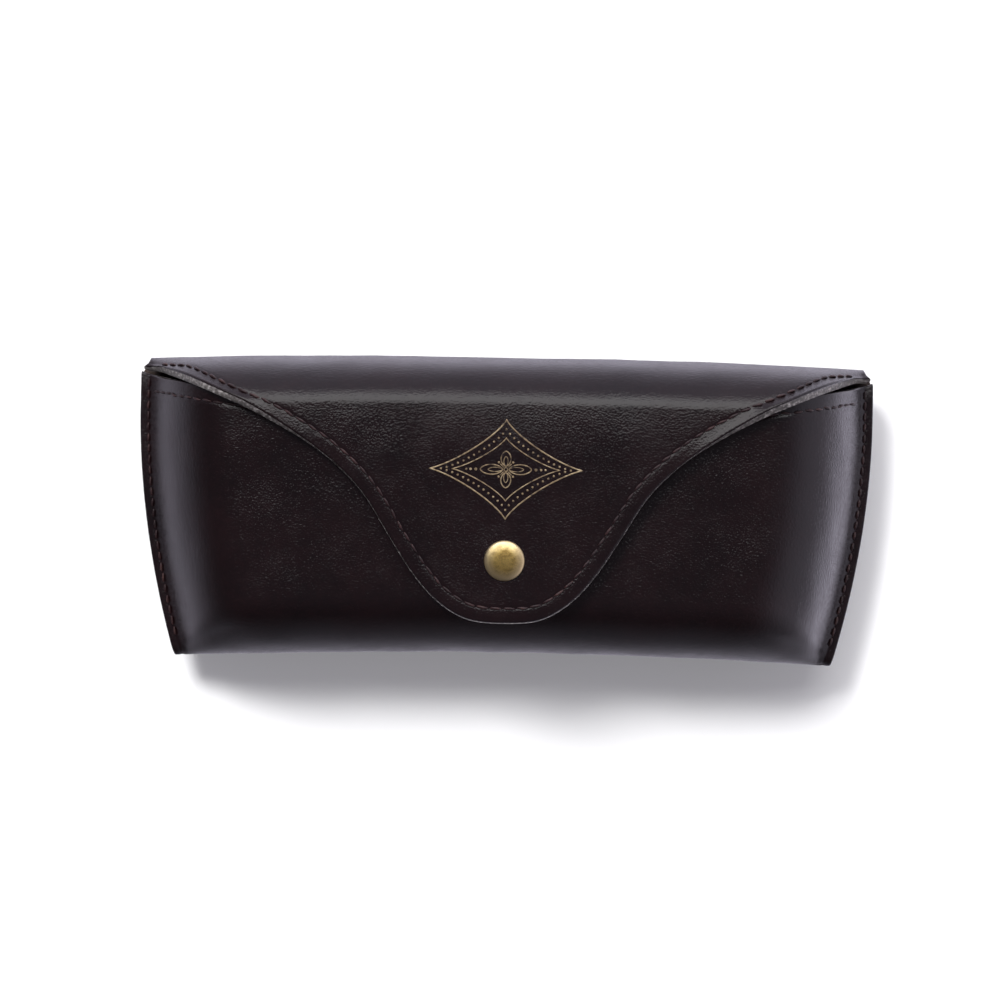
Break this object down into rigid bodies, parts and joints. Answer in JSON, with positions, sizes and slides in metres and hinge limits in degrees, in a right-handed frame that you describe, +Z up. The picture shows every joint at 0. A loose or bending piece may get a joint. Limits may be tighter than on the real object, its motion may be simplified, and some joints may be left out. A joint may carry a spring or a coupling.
{
  "type": "eyeglasses case",
  "caption": "Folded leather eyeglasses case with rounded sides, a pointed flap over the front and a brass snap that holds it shut.",
  "frame": {"origin": "middle of the case's outline, on the flat of the back that it rests on", "axes": "+X to the right along the long side, +Y towards the flap's fold, +Z up out of the front, as the case lies on its back with the flap shut"},
  "size_m": [0.1756, 0.0726, 0.0422],
  "materials": {
    "outer_leather": "smooth glazed leather, near black with a burgundy cast",
    "body_lining": "short-napped lining",
    "front_stiffener": "pressed fibre board",
    "back_stiffener": "pressed fibre board",
    "left_seam_stitching": "waxed dark brown thread",
    "right_seam_stitching": "waxed dark brown thread",
    "mouth_stitching": "waxed dark brown thread",
    "snap_stud": "aged brass",
    "stud_post": "aged brass",
    "flap_leather": "smooth glazed leather with a gold foil ornament",
    "flap_lining": "short-napped lining",
    "flap_stitching": "waxed dark brown thread",
    "snap_cap": "aged brass, worn bright at the rim",
    "snap_socket": "aged brass",
    "snap_spring": "spring wire"
  },
  "bodies": {
    "body": {"outer_leather": "outer_leather", "body_lining": "body_lining", "front_stiffener": "front_stiffener", "back_stiffener": "back_stiffener", "left_seam_stitching": "left_seam_stitching", "right_seam_stitching": "right_seam_stitching", "mouth_stitching": "mouth_stitching", "snap_stud": "snap_stud", "stud_post": "stud_post"},
    "flap": {"flap_leather": "flap_leather", "flap_lining": "flap_lining", "flap_stitching": "flap_stitching", "snap_cap": "snap_cap", "snap_socket": "snap_socket", "snap_spring": "snap_spring"}
  },
  "joints": [
    {"name": "flap_open", "type": "hinge", "parent": "body", "child": "flap", "pos_m": [0, 0.03485, 0.012], "axis": [-1, 0, 0], "range_deg": [0, 125]}
  ]
}
